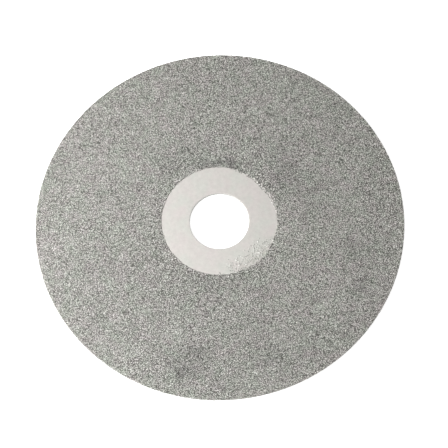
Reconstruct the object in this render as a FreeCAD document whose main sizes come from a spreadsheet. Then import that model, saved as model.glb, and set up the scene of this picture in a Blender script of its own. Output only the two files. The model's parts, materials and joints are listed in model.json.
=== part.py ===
import FreeCAD, Part
import math
import os
import random

import Sketcher

# A thin electroplated diamond grinding wheel: a pressed steel blank, a nickel plating that wraps all of
# it, a nickel bond over the grinding side and the rim, and one layer of diamond crystals in that bond.
# Millimetres. +Z is the spindle axis and points out of the grinding side. The origin is the centre of
# the bore on the back face.
#
# The layers are nested: each sub-part is its own outer form with the form of the layer beneath cut out
# of it, so neighbouring layers meet face to face.

SIZES = {
    "wheel_diameter": 100.0,
    "bore_diameter": 16.0,
    "bare_ring_diameter": 31.2,  # the ring round the bore that the mask kept free of grit
    "blank_thickness": 0.8,
    "blank_edge_round": 0.06,  # the pressed blank is tumbled, which rounds its edges
    "plating_thickness": 0.04,
    "bond_thickness": 0.10,
    "grit_height": 0.10,  # how far the crystals stand out of the bond
    "rim_mask_height": 0.30,  # the bond and the grit end here on the rim, above the back face
    "mask_edge_round": 0.05,
    "crystal_width": 0.27,
    "crystal_spacing": 0.30,
    "stray_margin": 0.20,  # from the ring's edge to the middle of the nearest stray crystal
    "leak_crystals": 160,  # crystals that crept under the mask in the leak
    "leak_from_angle": -95.0,
    "leak_middle_angle": -42.0,
    "leak_to_angle": -24.0,
    "leak_inner_radius": 10.6,
    "lifted_crystals": 46,  # crystals along the stretch where the mask's edge had lifted
    "lifted_from_angle": 6.0,
    "lifted_middle_angle": 34.0,
    "lifted_to_angle": 76.0,
    "lifted_width": 0.70,  # how far in they reach at the middle of the stretch
}
SUB_PARTS = ["steel_blank", "nickel_plating", "nickel_bond", "diamond_grit", "stray_grit"]
SEED = 5

# A crystal is a cube whose corners an octahedron cuts off. The octahedron's reach and how deep the
# crystal's middle lies under the plating are drawn between these, in crystal widths.
SMALLEST_REACH, LARGEST_REACH = 0.92, 1.15
DEEPEST_SEAT = 0.25

# The power that a random share is raised to in the leak. Below 1 it crowds the crystals to the ring's edge.
LEAK_CROWDING = 0.4

# Expressions that several forms share, each built out from the wheel's finished size.
COATS = "sizes.plating_thickness + sizes.bond_thickness + sizes.grit_height"
BLANK_RADIUS = f"sizes.wheel_diameter / 2 - ({COATS})"
PLATED_RADIUS = "sizes.wheel_diameter / 2 - (sizes.bond_thickness + sizes.grit_height)"
BOND_RADIUS = "sizes.wheel_diameter / 2 - sizes.grit_height"
WHEEL_RADIUS = "sizes.wheel_diameter / 2"
BORE_RADIUS = "sizes.bore_diameter / 2"
BLANK_BORE_RADIUS = "sizes.bore_diameter / 2 + sizes.plating_thickness"
RING_RADIUS = "sizes.bare_ring_diameter / 2"
PLATED_HEIGHT = "sizes.blank_thickness + 2 * sizes.plating_thickness"
BOND_TOP = f"{PLATED_HEIGHT} + sizes.bond_thickness"
PLATED_ROUND = "sizes.blank_edge_round + sizes.plating_thickness"
BOND_ROUND = f"{PLATED_ROUND} + sizes.bond_thickness"
BACK = "0"


def make_sheet(doc):
    """The spreadsheet that holds the driving dimensions, one alias to a row."""
    sheet = doc.addObject("Spreadsheet::Sheet", "sizes")
    for row, (alias, value) in enumerate(SIZES.items(), start=1):
        sheet.set(f"A{row}", alias)
        sheet.set(f"B{row}", str(value))
        sheet.setAlias(f"B{row}", alias)
    doc.recompute()
    return sheet


def origin_plane(body, role):
    """One of the body's own origin planes."""
    return next(feature for feature in body.Origin.OriginFeatures if feature.Role == role)


def circular_edges(feature, radius, height):
    """Names of the feature's circular edges of this radius at this height."""
    near = 1e-6
    names = []
    for number, edge in enumerate(feature.Shape.Edges, start=1):
        curve = edge.Curve
        if not isinstance(curve, Part.Circle):
            continue
        if abs(curve.Radius - radius) < near and abs(curve.Center.z - height) < near:
            names.append(f"Edge{number}")
    return names


def make_ring(doc, name, inner_radius, outer_radius, bottom, top, rounds):
    """A flat ring between two heights, padded from a sketch of two circles.

    rounds lists (radius of the edge, its height, how large a round it gets), all as expressions.
    """
    body = doc.addObject("PartDesign::Body", name)
    sketch = body.newObject("Sketcher::SketchObject", f"{name}_outline")
    sketch.AttachmentSupport = [(origin_plane(body, "XY_Plane"), "")]
    sketch.MapMode = "FlatFace"
    sketch.setExpression("AttachmentOffset.Base.z", bottom)
    axis = FreeCAD.Vector(0, 0, 1)
    for circle, (word, radius) in enumerate((("inner", inner_radius), ("outer", outer_radius))):
        drawn_radius = worked_out(doc, radius)
        sketch.addGeometry(Part.Circle(FreeCAD.Vector(0, 0, 0), axis, drawn_radius), False)
        sketch.addConstraint(Sketcher.Constraint("Coincident", circle, 3, -1, 1))
        constraint = sketch.addConstraint(Sketcher.Constraint("Radius", circle, drawn_radius))
        sketch.renameConstraint(constraint, f"{word}_radius")
        sketch.setExpression(f"Constraints.{word}_radius", radius)
    pad = body.newObject("PartDesign::Pad", f"{name}_pad")
    pad.Profile = sketch
    pad.setExpression("Length", f"({top}) - ({bottom})")
    doc.recompute()
    for number, (radius, height, size) in enumerate(rounds, start=1):
        base = body.Tip
        edges = circular_edges(base, worked_out(doc, radius), worked_out(doc, height))
        if not edges:
            raise RuntimeError(f"{name} has no edge for round {number}")
        fillet = body.newObject("PartDesign::Fillet", f"{name}_round_{number}")
        fillet.Base = (base, edges)
        fillet.setExpression("Radius", size)
        doc.recompute()
    return body


def worked_out(doc, expression):
    """The plain number that an expression over the sheet comes to."""
    result = doc.getObject("sizes").evalExpression(expression)
    return float(getattr(result, "Value", result))


def make_cut(doc, name, base, tool):
    """A layer: its own outer form without the form beneath it."""
    cut = doc.addObject("Part::Cut", name)
    cut.Base = base
    cut.Tool = tool
    doc.recompute()
    return cut


def octahedron(reach):
    """A closed octahedron whose corners lie this far out along each axis."""
    tips = {}
    for sign in (-1, 1):
        tips["x", sign] = FreeCAD.Vector(sign * reach, 0, 0)
        tips["y", sign] = FreeCAD.Vector(0, sign * reach, 0)
        tips["z", sign] = FreeCAD.Vector(0, 0, sign * reach)
    faces = []
    for sx in (-1, 1):
        for sy in (-1, 1):
            for sz in (-1, 1):
                corners = [tips["x", sx], tips["y", sy], tips["z", sz], tips["x", sx]]
                faces.append(Part.Face(Part.makePolygon(corners)))
    return Part.Solid(Part.Shell(faces))


def make_crystal(width, seat, x, y, dice):
    """One cube-and-octahedron crystal lying at random on the seat, with what would sink into it cut off."""
    half = width / 2
    cube = Part.makeBox(width, width, width, FreeCAD.Vector(-half, -half, -half))
    crystal = cube.common(octahedron(width * dice.uniform(SMALLEST_REACH, LARGEST_REACH)))
    turn_axis = FreeCAD.Vector(dice.gauss(0, 1), dice.gauss(0, 1), dice.gauss(0, 1))
    crystal.rotate(FreeCAD.Vector(0, 0, 0), turn_axis, dice.uniform(0, 360))
    crystal.translate(FreeCAD.Vector(x, y, seat - width * dice.uniform(0, DEEPEST_SEAT)))
    above = Part.makeBox(4 * width, 4 * width, 4 * width, FreeCAD.Vector(x - 2 * width, y - 2 * width, seat))
    return crystal.common(above).Solids[0]


def scatter(count, dice, draw, spacing, taken):
    """Adds this many places to taken, each one drawn by draw and no nearer than spacing to another."""
    wanted = len(taken) + count
    while len(taken) < wanted:
        radius, angle = draw(dice)
        place = (radius * math.cos(angle), radius * math.sin(angle))
        if all(math.dist(place, other) >= spacing for other in taken):
            taken.append(place)


def make_stray_grit(doc, sheet):
    """The crystals on the bare ring: a leak under the mask, and a stretch where its edge had lifted."""
    dice = random.Random(SEED)
    width = sheet.crystal_width
    seat = worked_out(doc, PLATED_HEIGHT)
    edge = sheet.bare_ring_diameter / 2 - sheet.stray_margin

    def in_leak(dice):
        # Denser towards the ring's edge and the middle of the leak.
        reach = dice.random() ** LEAK_CROWDING
        radius = sheet.leak_inner_radius + (edge - sheet.leak_inner_radius) * reach
        angle = dice.triangular(sheet.leak_from_angle, sheet.leak_to_angle, sheet.leak_middle_angle)
        return radius, math.radians(angle)

    def along_lifted_edge(dice):
        # Denser towards the middle of the stretch, where they also reach further in.
        middle = sheet.lifted_middle_angle
        angle = dice.triangular(sheet.lifted_from_angle, sheet.lifted_to_angle, middle)
        end = sheet.lifted_to_angle if angle > middle else sheet.lifted_from_angle
        radius = edge - sheet.lifted_width * (end - angle) / (end - middle) * dice.random()
        return radius, math.radians(angle)

    places = []
    scatter(int(sheet.leak_crystals), dice, in_leak, sheet.crystal_spacing, places)
    scatter(int(sheet.lifted_crystals), dice, along_lifted_edge, sheet.crystal_spacing, places)
    crystals = [make_crystal(width, seat, x, y, dice) for x, y in places]
    feature = doc.addObject("Part::Feature", "stray_grit")
    feature.Shape = Part.Compound(crystals)
    feature.Placement = FreeCAD.Placement()
    return feature


def build(doc):
    """Makes every sub-part as an object of the document, named after its node."""
    sheet = make_sheet(doc)
    plating = "sizes.plating_thickness"
    blank_top = f"{plating} + sizes.blank_thickness"
    steel_blank = make_ring(
        doc,
        "steel_blank",
        BLANK_BORE_RADIUS,
        BLANK_RADIUS,
        plating,
        blank_top,
        [
            (radius, height, "sizes.blank_edge_round")
            for radius in (BLANK_BORE_RADIUS, BLANK_RADIUS)
            for height in (plating, blank_top)
        ],
    )
    plated_form = make_ring(
        doc,
        "plated_form",
        BORE_RADIUS,
        PLATED_RADIUS,
        BACK,
        PLATED_HEIGHT,
        [
            (radius, height, PLATED_ROUND)
            for radius in (BORE_RADIUS, PLATED_RADIUS)
            for height in (BACK, PLATED_HEIGHT)
        ],
    )
    bond_form = make_ring(
        doc,
        "bond_form",
        RING_RADIUS,
        BOND_RADIUS,
        "sizes.rim_mask_height",
        BOND_TOP,
        [(BOND_RADIUS, BOND_TOP, BOND_ROUND), (RING_RADIUS, BOND_TOP, "sizes.mask_edge_round")],
    )
    wheel_top = f"{BOND_TOP} + sizes.grit_height"
    grit_form = make_ring(
        doc,
        "grit_form",
        f"{RING_RADIUS} + sizes.mask_edge_round",
        WHEEL_RADIUS,
        "sizes.rim_mask_height",
        wheel_top,
        [(WHEEL_RADIUS, wheel_top, f"{BOND_ROUND} + sizes.grit_height")],
    )
    make_cut(doc, "nickel_plating", plated_form, steel_blank)
    make_cut(doc, "nickel_bond", bond_form, plated_form)
    make_cut(doc, "diamond_grit", grit_form, bond_form)
    make_stray_grit(doc, sheet)
    doc.recompute()


def check(doc):
    """Stops on any failed object, and on any sub-part that isn't a set of valid closed solids."""
    for thing in doc.Objects:
        if "Invalid" in thing.State or "Error" in thing.State:
            raise RuntimeError(f"{thing.Name} failed: {thing.State}")
    for node in SUB_PARTS:
        shape = doc.getObject(node).Shape
        if shape.isNull() or not shape.isValid() or not shape.Solids:
            raise RuntimeError(f"{node} has no valid shape")


def report(doc):
    """Prints each sub-part's solids, volume and extent."""
    for node in SUB_PARTS:
        shape = doc.getObject(node).Shape
        box = shape.optimalBoundingBox()
        print(
            f"{node}: {len(shape.Solids)} solids, {shape.Volume:.3f} mm3,"
            f" radius to {box.XMax:.3f}, z {box.ZMin:.3f} to {box.ZMax:.3f}"
        )


def write_steps(doc):
    """Writes each sub-part to parts/NODE.step, where its label is the node's name."""
    os.makedirs("parts", exist_ok=True)
    for node in SUB_PARTS:
        sub_part = doc.getObject(node)
        sub_part.Shape.exportStep(f"parts/{sub_part.Label}.step")


def main():
    doc = FreeCAD.newDocument("diamond_grinding_wheel")
    build(doc)
    check(doc)
    report(doc)
    write_steps(doc)


main()
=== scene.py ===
"""Looks of a thin diamond grinding wheel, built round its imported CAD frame.

The wheel lies on its back, +Z up. Everything is in metres and placed from the frame's own boxes.
"""

import itertools
import json
import math

import bpy
import numpy as np
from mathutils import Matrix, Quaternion, Vector


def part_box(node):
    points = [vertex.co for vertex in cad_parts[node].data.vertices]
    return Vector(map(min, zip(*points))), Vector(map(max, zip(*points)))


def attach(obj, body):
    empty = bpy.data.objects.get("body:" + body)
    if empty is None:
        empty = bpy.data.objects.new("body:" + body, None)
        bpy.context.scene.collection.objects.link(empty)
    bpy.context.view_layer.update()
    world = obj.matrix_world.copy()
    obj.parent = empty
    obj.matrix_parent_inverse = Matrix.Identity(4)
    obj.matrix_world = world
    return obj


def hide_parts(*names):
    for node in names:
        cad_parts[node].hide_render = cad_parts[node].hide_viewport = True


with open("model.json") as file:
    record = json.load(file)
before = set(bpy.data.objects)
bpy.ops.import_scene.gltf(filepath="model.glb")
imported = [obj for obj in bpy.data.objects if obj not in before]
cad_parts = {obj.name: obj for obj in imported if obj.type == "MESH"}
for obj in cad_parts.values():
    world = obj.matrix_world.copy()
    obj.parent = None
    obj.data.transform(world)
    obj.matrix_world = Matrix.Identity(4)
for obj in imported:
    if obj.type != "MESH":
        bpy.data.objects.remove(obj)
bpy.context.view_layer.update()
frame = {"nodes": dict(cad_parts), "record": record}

MM = 0.001
MOUNTS = {mount["name"]: mount for mount in frame["record"]["mounts"]}
BORE_R = MOUNTS["arbor_bore"]["dims"]["r_mm"] * MM
RING_R = MOUNTS["clamp_ring"]["dims"]["r_mm"] * MM
BORE_WALL = MOUNTS["arbor_bore"]["dims"]["length_mm"] * MM
PLATE_LOW, PLATE_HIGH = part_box("nickel_plating")
BOND_LOW, BOND_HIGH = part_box("nickel_bond")
GRIT_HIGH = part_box("diamond_grit")[1]

# The plating's rim and front face, and three thicknesses: the plating, the bond on it, and the coat
# from the plating to the crystals' tips.
PLATE_R = PLATE_HIGH.x
PLATE_TOP = PLATE_HIGH.z
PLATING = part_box("steel_blank")[0].z - PLATE_LOW.z
BOND = BOND_HIGH.z - PLATE_TOP
COAT = GRIT_HIGH.z - PLATE_TOP

# The wheel's rounded edges. A place on the coat is given by its distance from the axis, measured along
# the coat: over the flat face, then TURN_LENGTH over the rounded edge, then WALL_LENGTH down the rim.
PLATE_EDGE = (PLATE_TOP - BORE_WALL) / 2
BLANK_EDGE = PLATE_EDGE - PLATING
BOND_EDGE = PLATE_EDGE + BOND
FLAT_R = PLATE_R - PLATE_EDGE
TURN_LENGTH = BOND_EDGE * math.pi / 2
WALL_LENGTH = PLATE_TOP - PLATE_EDGE - BOND_LOW.z
COAT_END = FLAT_R + TURN_LENGTH + WALL_LENGTH

SEED = 11
DISC_STEPS = 720
BOND_STEPS = 800
BEAD = 0.16 * MM

SECTORS = 8
CRYSTAL_FORMS = 24
CRYSTAL_SPACING = 0.262 * MM
CRYSTAL_WIDTHS_MM = (0.22, 0.32)
SCATTER_PASSES = 10

# Stretches of the mask's edge, in degrees from +X towards +Y: the middle, and half the angle covered.
LIFTED = (52, 55)  # the mask had lifted, so the coat's edge is ragged
TONGUED = (36, 56)  # the bond runs in among the stray crystals
HARSH = (42, 50)  # light and dark crystals differ most
LEAKED = (-50, 42)  # grit crept far in under the mask
BULGED = (-6, 26)  # the mask reached a little further out
OFF_CENTRE_TOWARDS = 109  # the direction in which the whole mask lay off centre

# Dull smudges on the coat, in degrees and millimetres: angle and radius of the middle, half the angle
# and half the width it covers, and its depth. The last one has less than no depth: it is rubbed bright.
SMUDGES = [
    (34, 24, 34, 4.4, 0.16),
    (26, 18.5, 24, 1.8, 0.10),
    (5, 27.5, 13, 2.6, 0.12),
    (84, 16.6, 34, 1.6, 0.14),
    (80, 16.0, 62, 0.9, 0.34),
    (113, 22, 28, 2.6, 0.14),
    (163, 29.5, 9, 2.0, 0.10),
    (193, 35.5, 20, 1.5, 0.09),
    (221, 41, 20, 1.8, 0.09),
    (252, 18, 26, 2.4, 0.14),
    (253, 42.5, 9, 2.2, 0.34),
    (257, 38.5, 9, 2.2, 0.24),
    (284, 41, 8, 2.0, 0.22),
    (330, 42, 7, 2.0, 0.24),
    (345, 36, 14, 2.4, 0.13),
    (-75, 49, 100, 2.2, -0.07),
]


# ---------------------------------------------------------------- shape helpers


class Noise:
    """Smooth random hills between -1 and 1 on a plane, the same on every run."""

    SIDE = 256

    def __init__(self, seed):
        self.table = np.random.default_rng(seed).uniform(-1, 1, (self.SIDE, self.SIDE))

    def __call__(self, x, y, cell):
        u, v = x / cell, y / cell
        column, row = np.floor(u).astype(int), np.floor(v).astype(int)
        a, b = u - column, v - row
        a, b = a * a * (3 - 2 * a), b * b * (3 - 2 * b)

        def knot(i, j):
            return self.table[(row + j) % self.SIDE, (column + i) % self.SIDE]

        low = knot(0, 0) * (1 - a) + knot(1, 0) * a
        high = knot(0, 1) * (1 - a) + knot(1, 1) * a
        return low * (1 - b) + high * b


mask_noise = Noise(SEED + 1)
plate_noise = Noise(SEED + 2)
bond_noise = Noise(SEED + 3)
grit_noise = Noise(SEED + 4)
soil_noise = Noise(SEED + 5)


def bell(angle, middle, half_width):
    """1 at the middle angle, falling to 0 half_width away on both sides; all in degrees."""
    away = np.abs((angle - middle + 180) % 360 - 180) / half_width
    return np.where(away < 1, 0.5 + 0.5 * np.cos(math.pi * np.minimum(away, 1)), 0.0)


def arc(centre_r, centre_z, radius, start, end, steps):
    """Points (r, z) of an arc; angles are in degrees, 0 outwards and 90 up."""
    angles = np.radians(np.linspace(start, end, steps + 1))
    return np.column_stack((centre_r + radius * np.cos(angles), centre_z + radius * np.sin(angles)))


def line(start, end, steps):
    """Points (r, z) between start and end, without the two ends."""
    shares = np.linspace(0, 1, steps + 1)[1:-1, None]
    return np.array(start) * (1 - shares) + np.array(end) * shares


def ring_rows(profile, steps):
    """Turns a closed profile of (r, z) points about the axis: an array of rows, steps and x, y, z."""
    angles = np.linspace(0, 2 * math.pi, steps, endpoint=False)
    r, z = profile[:, :1], profile[:, 1:]
    return np.stack((r * np.cos(angles), r * np.sin(angles), z + 0 * angles), axis=2)


def ring_faces(row_count, steps, start=0, inside_out=False):
    """Quads over rows that close on themselves both ways; start is the number of their first point."""
    row, step = np.meshgrid(np.arange(row_count) * steps, np.arange(steps), indexing="ij")
    next_row, next_step = (row + steps) % (row_count * steps), (step + 1) % steps
    corners = [row + step, row + next_step, next_row + next_step, next_row + step]
    if inside_out:
        corners.reverse()
    return start + np.stack(corners, axis=2).reshape(-1, 4)


def make_mesh(name, points, loops, sizes, smooth):
    """A mesh object from arrays: points, the corner indices of all faces in a row, and their sizes."""
    mesh = bpy.data.meshes.new(name)
    mesh.vertices.add(len(points))
    mesh.vertices.foreach_set("co", np.ascontiguousarray(points, np.float32).ravel())
    mesh.loops.add(len(loops))
    mesh.loops.foreach_set("vertex_index", np.ascontiguousarray(loops, np.int32))
    mesh.polygons.add(len(sizes))
    starts = np.concatenate(([0], np.cumsum(sizes)[:-1]))
    mesh.polygons.foreach_set("loop_start", starts.astype(np.int32))
    mesh.polygons.foreach_set("use_smooth", np.full(len(sizes), smooth))
    mesh.update(calc_edges=True)
    mesh.validate()
    piece = bpy.data.objects.new(name, mesh)
    bpy.context.scene.collection.objects.link(piece)
    return piece


def set_values(piece, name, values):
    """Stores one number per vertex, for the material to read."""
    piece.data.attributes.new(name, "FLOAT", "POINT").data.foreach_set("value", values.astype(np.float32))


def settle(piece, material, slot, *stands_for):
    """Gives a finished piece its material and its body, and hides the CAD parts it stands for."""
    piece.data.materials.append(material)
    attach(piece, "root")
    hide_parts(*stands_for)


# ---------------------------------------------------------------- the wheel's outlines


def mask_edge(angle):
    """Radius at which the coat starts, where the mask ended; angle in degrees from +X towards +Y.

    The mask lay a little off centre, bulged at one place, had lifted over one stretch, and let grit creep
    under it over another.
    """
    turn = np.radians(angle)
    x, y = RING_R * np.cos(turn), RING_R * np.sin(turn)
    off_centre = 0.22 * MM * np.cos(turn - math.radians(OFF_CENTRE_TOWARDS))
    bulge = 0.13 * MM * bell(angle, *BULGED)
    teeth = 0.05 * MM * mask_noise(x, y, 0.45 * MM) + 0.05 * MM * mask_noise(y, x, 0.2 * MM)
    ragged = 0.20 * mask_noise(x, y, 0.45 * MM) + 0.22 * mask_noise(y, x, 1.1 * MM)
    raised = lifted(angle) * (0.20 + ragged) * MM
    leak = leaked(angle) * 0.16 * MM * mask_noise(x, y, 0.7 * MM)
    return RING_R + off_centre + bulge + teeth - raised + leak


def lifted(angle):
    """1 where the mask's edge had lifted most, 0 where it lay flat."""
    return bell(angle, *LIFTED)


def leaked(angle):
    """1 where most grit crept under the mask, 0 where none did."""
    return bell(angle, *LEAKED)


def over_rim(along):
    """Carries a distance along the coat over the rounded edge and down the rim.

    Gives the radius and height on the plating, and the outward and upward parts of its normal there.
    """
    turn = np.clip((along - FLAT_R) / BOND_EDGE, 0, math.pi / 2)
    drop = np.maximum(along - FLAT_R - TURN_LENGTH, 0)
    outward, upward = np.sin(turn), np.cos(turn)
    radius = np.minimum(along, FLAT_R) + PLATE_EDGE * outward
    height = PLATE_TOP - PLATE_EDGE + PLATE_EDGE * upward - drop
    return radius, height, outward, upward


def off_plating(along, thickness, turn):
    """Rows of points that stand a thickness off the plating; along the coat, and turn in radians."""
    radius, height, outward, upward = over_rim(along)
    reach = radius + thickness * outward
    return np.stack((reach * np.cos(turn), reach * np.sin(turn), height + thickness * upward), axis=2)


def cleanness(x, y):
    """How clean the coat is: 1 all over, less in the dull smudges and more in the bright one."""
    radius, angle = np.hypot(x, y), np.degrees(np.arctan2(y, x))
    wobble = 2.4 * MM * soil_noise(x, y, 4 * MM) + 1.2 * MM * soil_noise(y, x, 1.7 * MM)
    soil = 0 * radius
    for smudge_angle, smudge_radius, half_angle, half_width, depth in SMUDGES:
        away = (radius + wobble - smudge_radius * MM) / (half_width * MM)
        soil = soil + depth * bell(angle, smudge_angle, half_angle) * np.exp(-away * away)
    return 1 - soil


# ---------------------------------------------------------------- plated disc


def plating_outlines():
    """The plating's closed outlines (r, z): its outside, and the inside wall that meets the steel."""
    bore_in, rim_in = BORE_R + PLATE_EDGE, PLATE_R - PLATE_EDGE
    top, bottom = PLATE_TOP, PLATE_LOW.z
    high, low = top - PLATE_EDGE, bottom + PLATE_EDGE
    outside = np.concatenate((
        arc(bore_in, low, PLATE_EDGE, 270, 180, 6),
        line((BORE_R, low), (BORE_R, high), 4),
        arc(bore_in, high, PLATE_EDGE, 180, 90, 6),
        line((bore_in, top), (RING_R, top), 24),
        line((RING_R, top), (rim_in, top), 26),
        arc(rim_in, high, PLATE_EDGE, 90, 0, 6),
        line((PLATE_R, high), (PLATE_R, low), 4),
        arc(rim_in, low, PLATE_EDGE, 0, -90, 6),
        line((rim_in, bottom), (bore_in, bottom), 30),
    ))
    inside = np.concatenate((
        arc(bore_in, low, BLANK_EDGE, 270, 180, 3),
        arc(bore_in, high, BLANK_EDGE, 180, 90, 3),
        arc(rim_in, high, BLANK_EDGE, 90, 0, 3),
        arc(rim_in, low, BLANK_EDGE, 0, -90, 3),
    ))
    return outside, inside


def plated_disc(material):
    """The nickel coat round the whole blank, one closed shell with a faint wave in its two faces."""
    outside, inside = plating_outlines()
    rows = ring_rows(outside, DISC_STEPS)
    x, y = rows[..., 0], rows[..., 1]
    wave = 0.006 * MM * plate_noise(x, y, 5 * MM) + 0.002 * MM * plate_noise(x, y, 1.1 * MM)
    on_top = outside[:, 1:] >= PLATE_TOP - PLATE_EDGE / 2
    on_back = outside[:, 1:] <= PLATE_LOW.z + PLATE_EDGE / 2
    rows[..., 2] += wave * on_top
    rows[..., 2] += np.abs(wave) * on_back
    hollow = ring_rows(inside, DISC_STEPS)
    points = np.concatenate((rows.reshape(-1, 3), hollow.reshape(-1, 3)))
    faces = np.concatenate((
        ring_faces(len(outside), DISC_STEPS),
        ring_faces(len(inside), DISC_STEPS, start=len(outside) * DISC_STEPS, inside_out=True),
    ))
    piece = make_mesh("plated_disc", points, faces.ravel(), np.full(len(faces), 4), True)

    radius = np.hypot(points[:, 0], points[:, 1])
    angle = np.degrees(np.arctan2(points[:, 1], points[:, 0]))
    set_values(piece, "in_bore", np.clip((BORE_R + PLATE_EDGE - radius) / PLATE_EDGE, 0, 1))
    on_front = points[:, 2] > PLATE_TOP / 2
    leak_width = 4 * MM
    crept = on_front * leaked(angle) * np.clip((radius - RING_R) / leak_width + 1, 0, 1)
    set_values(piece, "crept", crept)
    settle(piece, material, "plated_nickel", "nickel_plating")


# ---------------------------------------------------------------- bond coat


def bond_coat(material):
    """The nickel grown round the crystals: a beaded inner edge, a lumpy face, the rim and a straight end.

    Where the mask had lifted, tongues of it run in among the stray crystals. The last rows lie a little
    inside the plating and close the shell from beneath.
    """
    angle = np.linspace(0, 360, BOND_STEPS, endpoint=False)
    turn = np.radians(angle)
    x, y = RING_R * np.cos(turn), RING_R * np.sin(turn)
    tongues = np.clip(0.04 + 0.6 * mask_noise(y, x, 0.42 * MM), 0, 0.5) * MM
    start = mask_edge(angle) - tongues * bell(angle, *TONGUED)

    by_mask = start + np.linspace(0, 1.2 * MM, 15)[:, None]
    shares = np.linspace(0, 1, 80)[1:, None]
    over_face = by_mask[-1] + shares * (FLAT_R - by_mask[-1])
    over_edge = np.linspace(FLAT_R, COAT_END, 9)[1:, None] + 0 * angle
    along = np.concatenate((by_mask, over_face, over_edge))
    rise = np.clip((along - start) / BEAD, 0, 1)
    closing = np.clip((COAT_END - along) / BEAD, 0, 1)
    thickness = BOND * np.sqrt(1 - (1 - rise) ** 2) * np.sqrt(1 - (1 - closing) ** 2)
    x, y = along * np.cos(turn), along * np.sin(turn)
    lumps = 0.018 * MM * bond_noise(x, y, 0.7 * MM) + 0.014 * MM * bond_noise(y, x, 0.42 * MM)
    outer = off_plating(along, thickness + lumps * np.minimum(rise, closing), turn)

    under_along = np.concatenate((over_edge[::-2], over_face[::-20], by_mask[:1]))
    under = off_plating(under_along, -0.25 * PLATING, turn)
    rows = np.concatenate((outer, under))
    faces = ring_faces(len(rows), BOND_STEPS)
    piece = make_mesh("bond_coat", rows.reshape(-1, 3), faces.ravel(), np.full(len(faces), 4), True)
    bare_and_glint_share = np.concatenate((bareness_and_glints(along - start, angle, x, y), np.zeros(under.shape[:2])))
    # The open values carry the bare nickel band and the nodules that show painted glints.
    set_values(piece, "open", bare_and_glint_share.ravel())
    set_values(piece, "clean", cleanness(rows[..., 0], rows[..., 1]).ravel())
    settle(piece, material, "bond_nickel", "nickel_bond")


def bareness_and_glints(past_start, angle, x, y):
    """1 where the bond is bare beside the mask's edge, 0 where the crystals crowd it.

    It is a patchy band, wider by the leak, and single nodules with painted glints where the mask had
    lifted.
    """
    patchy = 0.18 * MM * (1 + bond_noise(x, y, 0.5 * MM))
    band_width = 0.18 * MM + 0.35 * MM * leaked(angle)
    band = np.clip(1.5 - (past_start + patchy) / band_width, 0, 1)
    # Painted glints: spots where the mask had lifted, coloured as bare nickel whose brightest lumps stand
    # for highlights.
    glinting_nodules = np.clip(4.5 * bond_noise(y, x, 0.36 * MM) - 0.8, 0, 1)
    glinting_nodules = glinting_nodules * np.clip(2 - past_start / (0.3 * MM), 0, 1)
    return band * (1 - lifted(angle)) + glinting_nodules * lifted(angle)


# ---------------------------------------------------------------- crystals


def block(normals, offsets):
    """Corners and faces of the convex block behind the planes normal . point = offset."""
    corners, faces = [], [[] for _ in normals]
    for trio in itertools.combinations(range(len(normals)), 3):
        planes = normals[list(trio)]
        if abs(np.linalg.det(planes)) < 1e-4:
            continue
        corner = np.linalg.solve(planes, offsets[list(trio)])
        if (normals @ corner > offsets + 1e-9).any():
            continue
        for plane in trio:
            faces[plane].append(len(corners))
        corners.append(corner)
    corners = np.array(corners)
    ordered = []
    for normal, face in zip(normals, faces):
        if len(face) < 3:
            continue
        arms = corners[face] - corners[face].mean(axis=0)
        side = np.cross(normal, arms[0])
        order = np.argsort(np.arctan2(arms @ side, arms @ arms[0] * np.linalg.norm(normal)))
        ordered.append([face[i] for i in order])
    return corners, ordered


def shortest_edge(corners, faces):
    """Length of a block's shortest edge."""
    edges = [(face[i], face[i - 1]) for face in faces for i in range(len(face))]
    return min(np.linalg.norm(corners[first] - corners[second]) for first, second in edges)


def crystal_forms(count, rng):
    """A library of blocky crystals about 1 across: skewed cubes with one to three corners cut off."""
    cube = np.array([(1, 0, 0), (-1, 0, 0), (0, 1, 0), (0, -1, 0), (0, 0, 1), (0, 0, -1)], float)
    diagonals = np.array(list(itertools.product((1, -1), repeat=3)), float) / math.sqrt(3)
    skew, sliver = 0.13, 0.12
    forms = []
    while len(forms) < count:
        cuts = rng.choice(len(diagonals), rng.integers(1, 4), replace=False)
        normals = np.concatenate((cube, diagonals[cuts])) + rng.normal(0, skew, (6 + len(cuts), 3))
        normals /= np.linalg.norm(normals, axis=1)[:, None]
        face_offsets = rng.uniform(0.38, 0.52, 6)
        cut_offsets = rng.uniform(0.40, 0.58, len(cuts))
        corners, faces = block(normals, np.concatenate((face_offsets, cut_offsets)))
        if shortest_edge(corners, faces) > sliver:
            forms.append((corners, faces))
    return forms


def scatter(radius, spacing, passes, rng):
    """Points of a plane square round the axis, none nearer to another than spacing.

    Each pass throws one dart into every empty cell, and keeps those that clear all kept points and all
    darts of a higher rank.
    """
    cell = spacing / math.sqrt(2)
    count = 2 * math.ceil(radius / cell) + 6
    index = np.stack(np.meshgrid(np.arange(count), np.arange(count), indexing="ij"), axis=2)
    kept = np.full((count, count, 2), np.inf)
    reach = [(i, j) for i in range(-2, 3) for j in range(-2, 3) if (i, j) != (0, 0)]
    for _ in range(passes):
        darts = (index + rng.random(index.shape) - count / 2) * cell
        rank = rng.random((count, count))
        free = np.isinf(kept[..., 0])
        rank[~free] = -1
        alive = free.copy()
        for shift in reach:
            gap = darts - np.roll(kept, shift, (0, 1))
            alive &= (gap ** 2).sum(axis=2) >= spacing ** 2
            gap = darts - np.roll(darts, shift, (0, 1))
            beaten = np.roll(rank, shift, (0, 1)) > rank
            alive &= ~(beaten & ((gap ** 2).sum(axis=2) < spacing ** 2))
        kept[alive] = darts[alive]
    return kept[np.isfinite(kept[..., 0])]


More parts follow.
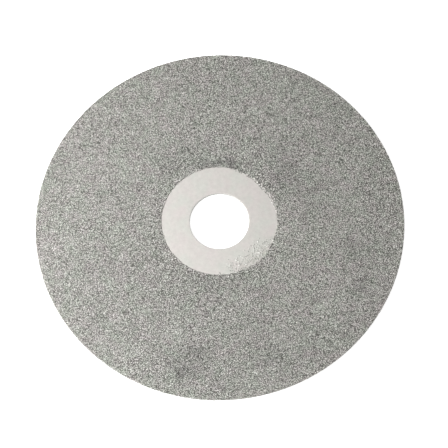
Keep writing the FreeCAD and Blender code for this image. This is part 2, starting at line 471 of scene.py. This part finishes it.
def even_out(spots, values, reach):
    """Takes its neighbourhood's mean from each value and adds the mean of all.

    So light and dark ones stay mixed, and don't bunch by chance.
    """
    cell = reach / 2
    side = 2 * math.ceil(np.abs(spots).max() / cell) + 4
    column, row = (np.floor(spots / cell).astype(int) + side // 2).T
    total, number = np.zeros((side, side)), np.zeros((side, side))
    np.add.at(total, (row, column), values)
    np.add.at(number, (row, column), 1)
    for grid in (total, number):
        for axis in (0, 1):
            grid[:] = np.roll(grid, 1, axis) + 2 * grid + np.roll(grid, -1, axis)
    return np.clip(values - total[row, column] / number[row, column] + values.mean(), 0, 1)


def random_turns(count, rng):
    """Uniform random rotation matrices."""
    q = rng.normal(size=(count, 4))
    w, x, y, z = (q / np.linalg.norm(q, axis=1)[:, None]).T
    rows = [
        (1 - 2 * (y * y + z * z), 2 * (x * y - w * z), 2 * (x * z + w * y)),
        (2 * (x * y + w * z), 1 - 2 * (x * x + z * z), 2 * (y * z - w * x)),
        (2 * (x * z - w * y), 2 * (y * z + w * x), 1 - 2 * (x * x + y * y)),
    ]
    return np.stack([np.stack(row, axis=1) for row in rows], axis=1)


def keep_inside(placed, outward):
    """Sinks each crystal that would stand out of the coat's own box, on the rounded edge.

    placed is an array of crystals and their points, and outward holds each one's level unit vector.
    """
    too_high = np.maximum(placed[..., 2].max(axis=1) - GRIT_HIGH.z, 0)
    placed[..., 2] -= too_high[:, None]
    reach = placed[..., 0] * outward[:, None, 0] + placed[..., 1] * outward[:, None, 1]
    too_far = np.maximum(reach.max(axis=1) - GRIT_HIGH.x, 0)
    placed[..., :2] -= (too_far[:, None] * outward)[:, None]


def place_crystals(name, forms, kind, along, angle, width, depth, turns, **shades):
    """One mesh of many crystals that stand on the plating; angle in radians, sizes in metres.

    kind says which form each one has, along is its distance along the coat, and shades are numbers for
    the material to read, one per crystal.
    """
    radius, height, outward, upward = over_rim(along)
    c, s = np.cos(angle), np.sin(angle)
    level = np.column_stack((c, s))
    foot = np.column_stack((radius * c, radius * s, height))
    normal = np.column_stack((outward * c, outward * s, upward))
    sideways = np.column_stack((-s, c, 0 * s))
    across = np.cross(normal, sideways)
    points, loops, sizes, order, total = [], [], [], [], 0
    for number, (corners, faces) in enumerate(forms):
        mine = np.flatnonzero(kind == number)
        local = np.einsum("nij,vj->nvi", turns[mine], corners)
        low = local[..., 2].min(axis=1)[:, None]
        tall = local[..., 2].max(axis=1)[:, None] - low
        up = (local[..., 2] - low) / tall * depth[mine, None]
        flat = local[..., :2] * width[mine, None, None]
        placed = (
            foot[mine, None]
            + flat[..., :1] * sideways[mine, None]
            + flat[..., 1:] * across[mine, None]
            + up[..., None] * normal[mine, None]
        )
        keep_inside(placed, level[mine])
        points.append(placed.reshape(-1, 3))
        face_loops = np.concatenate([np.array(face) for face in faces])
        offsets = total + np.arange(len(mine))[:, None] * len(corners)
        loops.append((offsets + face_loops).ravel())
        sizes.append(np.tile([len(face) for face in faces], len(mine)))
        order.append(np.repeat(mine, len(corners)))
        total += len(mine) * len(corners)
    piece = make_mesh(name, np.concatenate(points), np.concatenate(loops), np.concatenate(sizes), False)
    for shade, values in shades.items():
        set_values(piece, shade, values[np.concatenate(order)])
    return piece


def grit_spots(rng):
    """Where the crystals stand: flat spots, their distances along the coat and their angles in radians.

    Some crept in past the mask's edge, and they thin out by the leak and low on the rim.
    """
    spots = scatter(COAT_END, CRYSTAL_SPACING, SCATTER_PASSES, rng)
    along = np.hypot(spots[:, 0], spots[:, 1])
    angle = np.arctan2(spots[:, 1], spots[:, 0])
    turned = np.degrees(angle)
    creep = (0.45 * lifted(turned) + 0.70 * leaked(turned)) * MM * rng.random(len(spots)) ** 2
    start = mask_edge(turned) + 0.03 * MM - creep
    on_wheel = (along > start) & (along < COAT_END - 0.10 * MM)
    gaps = 0.03 + 0.03 * np.maximum(grit_noise(spots[:, 0], spots[:, 1], 9 * MM), 0)
    low_on_rim = np.clip((along - FLAT_R - TURN_LENGTH) / WALL_LENGTH, 0, 1)
    by_leak = leaked(turned) * np.clip(1 - (along - start) / (1.1 * MM), 0, 1)
    missing = gaps + 0.5 * low_on_rim + 0.35 * by_leak
    keep = on_wheel & (rng.random(len(spots)) > missing)
    return spots[keep], along[keep], angle[keep]


def crystal_tints(spots, along, turned, rng):
    """How light each crystal is, 0 to 1: well mixed, and harsher where the mask had lifted, with painted
    shade by the coat's edge there.
    """
    tint = even_out(spots, rng.normal(0.5, 0.30, len(spots)), 0.5 * MM)
    past_mask = along - mask_edge(turned)
    harsher = 0.6 * bell(turned, *HARSH) * np.clip(2 - past_mask / (4 * MM), 0, 1)
    # Painted shade: crystals within 0.35 mm of the coat's edge where the mask had lifted are darkened for
    # the shade among them.
    painted_edge_shade = 0.25 * lifted(turned) * (past_mask < 0.35 * MM)
    return np.clip(0.5 + (tint - 0.5) * (1 + harsher) - painted_edge_shade, 0, 1)


def grit_coat(material):
    """The single layer of crystals, in equal sectors, over the face, the rounded edge and the rim."""
    rng = np.random.default_rng(SEED)
    forms = crystal_forms(CRYSTAL_FORMS, rng)
    spots, along, angle = grit_spots(rng)
    count = len(spots)
    kind = rng.integers(0, len(forms), count)
    width = rng.uniform(*CRYSTAL_WIDTHS_MM, count) * MM
    depth = rng.uniform(0.74, 1.0, count) * COAT
    tint = crystal_tints(spots, along, np.degrees(angle), rng)
    clean = cleanness(spots[:, 0], spots[:, 1])
    turns = random_turns(count, rng)
    sector = ((angle + math.pi) / (2 * math.pi) * SECTORS).astype(int) % SECTORS
    for number in range(SECTORS):
        mine = sector == number
        piece = place_crystals(
            f"grit_sector_{number + 1}", forms, kind[mine], along[mine], angle[mine],
            width[mine], depth[mine], turns[mine], tint=tint[mine], clean=clean[mine],
        )
        settle(piece, material, "diamond", "diamond_grit")


# ---------------------------------------------------------------- materials

# Object coordinates are in metres, so a noise scale of 1000 makes hills about 1 mm apart.


def new_material(name):
    """A node material, its node tree and its Principled node, linked to the output."""
    material = bpy.data.materials.new(name)
    material.use_nodes = True
    tree = material.node_tree
    tree.nodes.clear()
    output = tree.nodes.new("ShaderNodeOutputMaterial")
    shader = tree.nodes.new("ShaderNodeBsdfPrincipled")
    tree.links.new(shader.outputs["BSDF"], output.inputs["Surface"])
    return material, tree, shader


def noise_node(tree, place, scale, detail, roughness=0.5):
    """Smooth noise around 0.5."""
    node = tree.nodes.new("ShaderNodeTexNoise")
    node.inputs["Scale"].default_value = scale
    node.inputs["Detail"].default_value = detail
    node.inputs["Roughness"].default_value = roughness
    tree.links.new(place, node.inputs["Vector"])
    return node.outputs["Fac"]


def ramp_node(tree, factor, *stops):
    """A colour ramp; each stop is (position, (red, green, blue)) or (position, grey)."""
    node = tree.nodes.new("ShaderNodeValToRGB")
    ramp = node.color_ramp
    while len(ramp.elements) < len(stops):
        ramp.elements.new(0.5)
    for element, (position, colour) in zip(ramp.elements, stops):
        element.position = position
        colour = colour if isinstance(colour, tuple) else (colour,) * 3
        element.color = (*colour, 1)
    tree.links.new(factor, node.inputs["Fac"])
    return node.outputs["Color"]


def own_value(tree, name):
    """A number that the mesh stores per vertex."""
    node = tree.nodes.new("ShaderNodeAttribute")
    node.attribute_name = name
    return node.outputs["Fac"]


def mix_node(tree, share, first, second):
    """The first colour where share is 0, the second where it is 1."""
    node = tree.nodes.new("ShaderNodeMix")
    node.data_type = "RGBA"
    tree.links.new(share, node.inputs["Factor"])
    tree.links.new(first, node.inputs["A"])
    tree.links.new(second, node.inputs["B"])
    return node.outputs["Result"]


def multiply_node(tree, first, second):
    """One colour darkened by another."""
    node = tree.nodes.new("ShaderNodeMix")
    node.data_type = "RGBA"
    node.blend_type = "MULTIPLY"
    node.inputs["Factor"].default_value = 1.0
    tree.links.new(first, node.inputs["A"])
    tree.links.new(second, node.inputs["B"])
    return node.outputs["Result"]


def range_node(tree, value, start, end, highest):
    """0 up to start, then rising evenly to highest at end."""
    node = tree.nodes.new("ShaderNodeMapRange")
    node.inputs["From Min"].default_value = start
    node.inputs["From Max"].default_value = end
    node.inputs["To Max"].default_value = highest
    tree.links.new(value, node.inputs["Value"])
    return node.outputs["Result"]


def bump_node(tree, height, strength, distance):
    """A normal that is tilted as if the surface had that relief; distance in metres."""
    node = tree.nodes.new("ShaderNodeBump")
    node.inputs["Strength"].default_value = strength
    node.inputs["Distance"].default_value = distance
    tree.links.new(height, node.inputs["Height"])
    return node.outputs["Normal"]


def object_place(tree):
    """Each point's place in the object's own metres."""
    return tree.nodes.new("ShaderNodeTexCoord").outputs["Object"]


def blank_steel():
    """Cold-rolled steel: fine grain and a little oil darkening. It is hidden inside the plating."""
    material, tree, shader = new_material("blank_steel")
    place = object_place(tree)
    grain = noise_node(tree, place, 900, 6)
    tree.links.new(ramp_node(tree, grain, (0.35, 0.26), (0.65, 0.36)), shader.inputs["Base Color"])
    tree.links.new(ramp_node(tree, grain, (0.3, 0.30), (0.7, 0.45)), shader.inputs["Roughness"])
    tree.links.new(bump_node(tree, grain, 0.2, 0.02 * MM), shader.inputs["Normal"])
    shader.inputs["Metallic"].default_value = 1.0
    return material


def plated_nickel():
    """Matt nickel: a fine dull texture, faint warmer and greener patches, and a bore wall darkened by
    painted shade.

    Where grit crept under the mask it is mottled by a faint stain.
    """
    material, tree, shader = new_material("plated_nickel")
    place = object_place(tree)
    patch = noise_node(tree, place, 260, 2)
    tint = ramp_node(
        tree, patch,
        (0.34, (0.626, 0.583, 0.562)),
        (0.50, (0.619, 0.590, 0.560)),
        (0.66, (0.600, 0.592, 0.554)),
    )
    cloud = noise_node(tree, place, 900, 3, 0.7)
    tint = multiply_node(tree, tint, ramp_node(tree, cloud, (0.35, 0.93), (0.65, 1.0)))
    mottle = noise_node(tree, place, 1700, 3, 0.7)
    stain = ramp_node(tree, mottle, (0.38, (0.70, 0.73, 0.68)), (0.60, (1.0, 1.0, 1.0)))
    tint = mix_node(tree, own_value(tree, "crept"), tint, multiply_node(tree, tint, stain))
    speck = noise_node(tree, place, 5200, 4)
    face = multiply_node(tree, tint, ramp_node(tree, speck, (0.30, 0.92), (0.70, 1.0)))
    # Painted shade: the bore wall and its rounded edge take a darker grey, for the shade inside the bore.
    painted_shade_wall = ramp_node(tree, speck, (0.30, (0.33, 0.325, 0.31)), (0.70, (0.44, 0.435, 0.42)))
    colour = mix_node(tree, own_value(tree, "in_bore"), face, painted_shade_wall)
    tree.links.new(colour, shader.inputs["Base Color"])
    tree.links.new(ramp_node(tree, speck, (0.3, 0.52), (0.7, 0.64)), shader.inputs["Roughness"])
    tree.links.new(bump_node(tree, speck, 0.25, 0.02 * MM), shader.inputs["Normal"])
    shader.inputs["Metallic"].default_value = 0.75
    return material


def coat_tint(tree, place, colour):
    """Lays the coat's own smudges, soft clouds and faint pinkish and greenish patches over a colour."""
    cloud = noise_node(tree, place, 90, 3)
    patch = noise_node(tree, place, 340, 3)
    cast = ramp_node(
        tree, patch,
        (0.30, (1.0, 0.930, 0.960)),
        (0.50, (0.988, 0.976, 0.961)),
        (0.70, (0.938, 0.984, 0.925)),
    )
    colour = multiply_node(tree, colour, cast)
    colour = multiply_node(tree, colour, ramp_node(tree, cloud, (0.35, 0.95), (0.62, 1.0)))
    return multiply_node(tree, colour, own_value(tree, "clean"))


def bond_nickel():
    """Rough nickel among the crystals, painted near black as their shade, and bright where bare beside
    the mask's edge, with painted glints.
    """
    material, tree, shader = new_material("bond_nickel")
    place = object_place(tree)
    lump = noise_node(tree, place, 4000, 5, 0.6)
    # Painted shade: the nickel between the crystals is coloured near black for the shade that falls among
    # them.
    gap_nickel_and_shade = ramp_node(tree, lump, (0.30, (0.06, 0.059, 0.054)), (0.70, (0.19, 0.188, 0.174)))
    # Bare nickel beside the mask's edge; its brightest stop, lighter than the plating, is a painted glint
    # on the lumps.
    bare_nickel_and_glints = ramp_node(
        tree, lump,
        (0.30, (0.46, 0.45, 0.425)),
        (0.50, (0.56, 0.55, 0.52)),
        (0.59, (0.89, 0.88, 0.84)),
    )
    colour = mix_node(tree, own_value(tree, "open"), gap_nickel_and_shade, bare_nickel_and_glints)
    tree.links.new(coat_tint(tree, place, colour), shader.inputs["Base Color"])
    tree.links.new(ramp_node(tree, lump, (0.3, 0.46), (0.7, 0.62)), shader.inputs["Roughness"])
    tree.links.new(bump_node(tree, lump, 0.5, 0.05 * MM), shader.inputs["Normal"])
    shader.inputs["Metallic"].default_value = 0.7
    return material


def diamond_coat():
    """Grey synthetic diamond: each crystal has its own tone and a slightly frosted face."""
    material, tree, shader = new_material("diamond")
    place = object_place(tree)
    tone = ramp_node(
        tree, own_value(tree, "tint"),
        (0.0, (0.095, 0.094, 0.085)),
        (0.5, (0.335, 0.332, 0.306)),
        (1.0, (0.575, 0.569, 0.528)),
    )
    tree.links.new(coat_tint(tree, place, tone), shader.inputs["Base Color"])
    frost = noise_node(tree, place, 9000, 3)
    tree.links.new(ramp_node(tree, frost, (0.35, 0.34), (0.65, 0.56)), shader.inputs["Roughness"])
    shader.inputs["IOR"].default_value = 1.9
    return material


def diamond_strays():
    """The same crystals on the bare ring, nearly clean beside the coat and where the mask lifted, there
    with painted shade and glints in their tones.

    Further into the leak they are skinned with nickel, so they hardly show against the ring.
    """
    material, tree, shader = new_material("stray_diamond")
    place = object_place(tree)
    patch = noise_node(tree, place, 2600, 2)
    skinned = ramp_node(
        tree, patch,
        (0.32, (0.32, 0.32, 0.295)),
        (0.50, (0.46, 0.46, 0.43)),
        (0.68, (0.61, 0.60, 0.57)),
    )
    # Painted shade and glints: the near-black and near-white ends of the clean crystals' tones stand for
    # shade and highlights.
    clean = ramp_node(
        tree, patch,
        (0.34, (0.07, 0.07, 0.06)),
        (0.50, (0.22, 0.22, 0.20)),
        (0.61, (0.84, 0.83, 0.80)),
    )
    parts = tree.nodes.new("ShaderNodeSeparateXYZ")
    tree.links.new(place, parts.inputs["Vector"])
    lifted_side = range_node(tree, parts.outputs["Y"], -1 * MM, 1 * MM, 1.0)
    reach = tree.nodes.new("ShaderNodeVectorMath")
    reach.operation = "LENGTH"
    tree.links.new(place, reach.inputs[0])
    by_coat = range_node(tree, reach.outputs["Value"], RING_R - 2.6 * MM, RING_R - 0.4 * MM, 0.6)
    cleaner = tree.nodes.new("ShaderNodeMath")
    cleaner.operation = "MAXIMUM"
    tree.links.new(lifted_side, cleaner.inputs[0])
    tree.links.new(by_coat, cleaner.inputs[1])
    tree.links.new(mix_node(tree, cleaner.outputs["Value"], skinned, clean), shader.inputs["Base Color"])
    frost = noise_node(tree, place, 9000, 3)
    tree.links.new(ramp_node(tree, frost, (0.35, 0.36), (0.65, 0.56)), shader.inputs["Roughness"])
    shader.inputs["Metallic"].default_value = 0.3
    return material


# ---------------------------------------------------------------- stage


def make_camera():
    """The camera stands high in front of the wheel, rolled a little, with a long lens."""
    elevation = math.radians(69)
    roll = math.radians(-4.3)
    distance = 460 * MM
    aim = Vector((1.21 * MM, -0.99 * MM, PLATE_TOP))
    back = Vector((0, -math.cos(elevation), math.sin(elevation)))
    camera = bpy.data.objects.new("camera", bpy.data.cameras.new("camera"))
    camera.data.lens = 136.75
    camera.data.sensor_width = 36
    camera.data.clip_start = 0.01
    camera.location = aim + back * distance
    camera.rotation_mode = "QUATERNION"
    camera.rotation_quaternion = (-back).to_track_quat("-Z", "Y") @ Quaternion((0, 0, 1), roll)
    bpy.context.scene.collection.objects.link(camera)
    bpy.context.scene.camera = camera


def make_floor():
    """A white table top just under the wheel's back. It glows a little, so no shadow shows on it."""
    half = 3.0
    drop = 0.01 * MM
    sides = ((-half, -half), (half, -half), (half, half), (-half, half))
    corners = np.array([(x, y, -drop) for x, y in sides])
    floor = make_mesh("floor", corners, np.arange(4), np.array([4]), False)
    material, tree, shader = new_material("white_table")
    paper = noise_node(tree, object_place(tree), 40, 2)
    tree.links.new(ramp_node(tree, paper, (0.3, 0.90), (0.7, 0.92)), shader.inputs["Base Color"])
    shader.inputs["Roughness"].default_value = 0.9
    shader.inputs["Emission Color"].default_value = (1, 1, 1, 1)
    shader.inputs["Emission Strength"].default_value = 0.7
    floor.data.materials.append(material)


def make_light():
    """An even white room and one near soft box on the wheel's left."""
    world = bpy.data.worlds.new("room")
    bpy.context.scene.world = world
    world.use_nodes = True
    world.node_tree.nodes["Background"].inputs["Color"].default_value = (1, 1, 1, 1)
    world.node_tree.nodes["Background"].inputs["Strength"].default_value = 0.42
    light = bpy.data.lights.new("soft_box", "AREA")
    light.shape = "RECTANGLE"
    light.size = 0.30
    light.size_y = 0.22
    light.energy = 2.9
    light.color = (0.985, 1.0, 1.0)
    lamp = bpy.data.objects.new("soft_box", light)
    lamp.location = (-0.27, -0.015, 0.21)
    lamp.visible_camera = False
    lamp.rotation_mode = "QUATERNION"
    lamp.rotation_quaternion = (-lamp.location).to_track_quat("-Z", "Y")
    bpy.context.scene.collection.objects.link(lamp)
    bpy.context.scene.view_settings.view_transform = "Standard"


# ---------------------------------------------------------------- the whole wheel

make_camera()
make_light()
make_floor()
plated_disc(plated_nickel())
bond_coat(bond_nickel())
grit_coat(diamond_coat())

for node, finish in (
    ("steel_blank", blank_steel()),
    ("stray_grit", diamond_strays()),
):
    slots = frame["nodes"][node].data.materials
    slots.clear()
    slots.append(finish)
